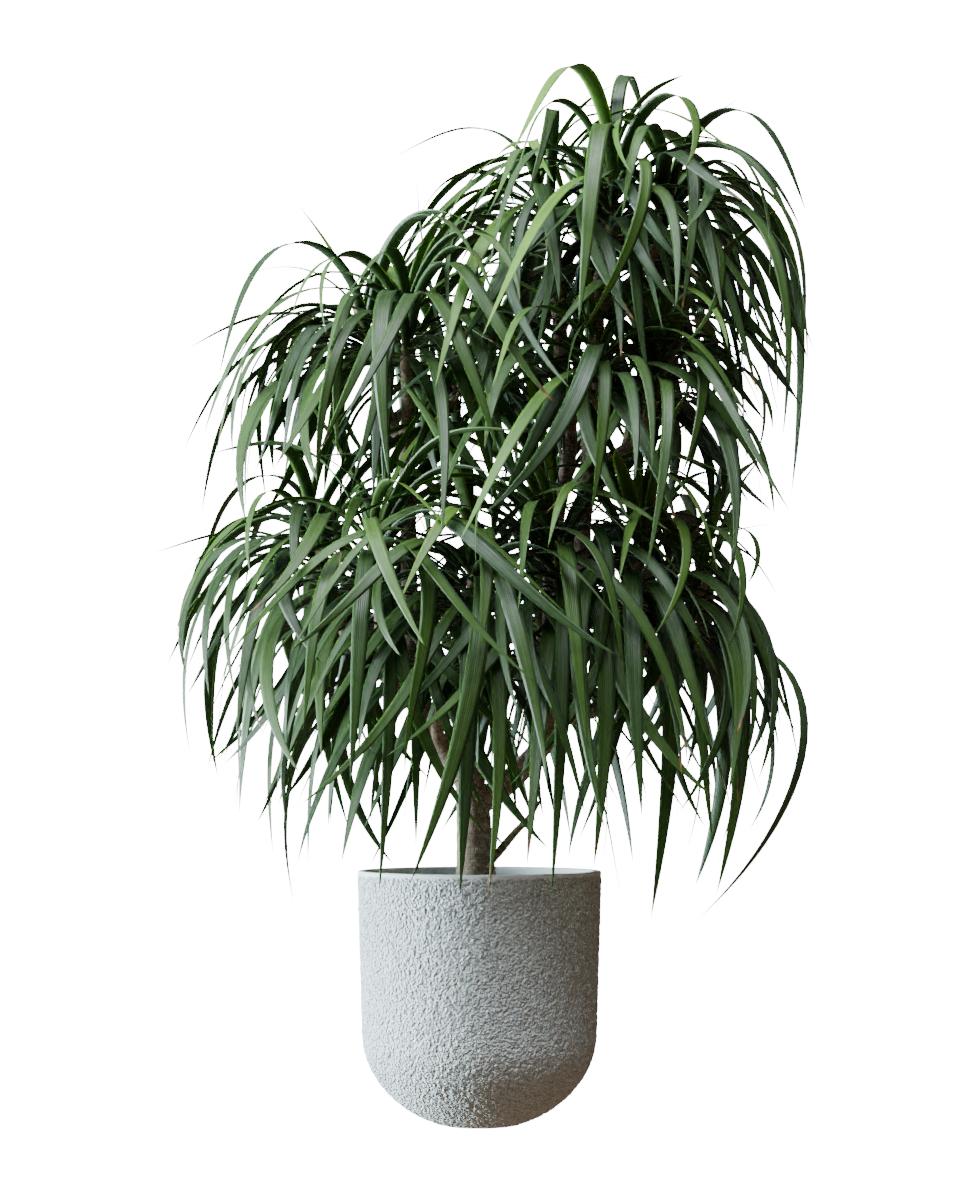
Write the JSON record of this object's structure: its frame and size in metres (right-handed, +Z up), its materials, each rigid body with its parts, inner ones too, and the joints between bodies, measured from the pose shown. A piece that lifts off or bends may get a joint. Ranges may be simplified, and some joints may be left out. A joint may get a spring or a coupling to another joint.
{
  "type": "potted dracaena",
  "caption": "Tall house plant with long drooping strap leaves in crowns at the ends of its branches, growing from soil in a round-bottomed white planter that stands on a small flat foot.",
  "frame": {"origin": "centre of the planter's flat foot, on the surface that it stands on", "axes": "+Z up along the planter's axis, -Y towards the plant's front, +X to its right as seen from the front"},
  "size_m": [1.1493, 0.9595, 1.7655],
  "materials": {
    "textured_white": "matte",
    "soil": "matte",
    "bark": "matte",
    "leaf": "satin"
  },
  "bodies": {
    "root": {"pot": "textured_white", "soil": "soil", "trunk_and_branches": "bark", "leaf_head_top_centre": "leaf", "leaf_head_top_right": "leaf", "leaf_head_top_left": "leaf", "leaf_head_top_back": "leaf", "leaf_head_upper_left_front": "leaf", "leaf_head_upper_left_outer": "leaf", "leaf_head_upper_left_inner": "leaf", "leaf_head_middle_front": "leaf", "leaf_head_middle_right": "leaf", "leaf_head_middle_back": "leaf", "leaf_head_low_left_outer": "leaf", "leaf_head_low_left_front": "leaf", "leaf_head_low_left_back": "leaf", "leaf_head_low_centre_front": "leaf", "leaf_head_low_centre_inner": "leaf", "leaf_head_low_right_inner": "leaf", "leaf_head_low_right_front": "leaf", "leaf_head_low_right_outer": "leaf", "leaf_head_low_right_upper": "leaf", "leaf_head_low_right_back": "leaf"}
  },
  "joints": []
}
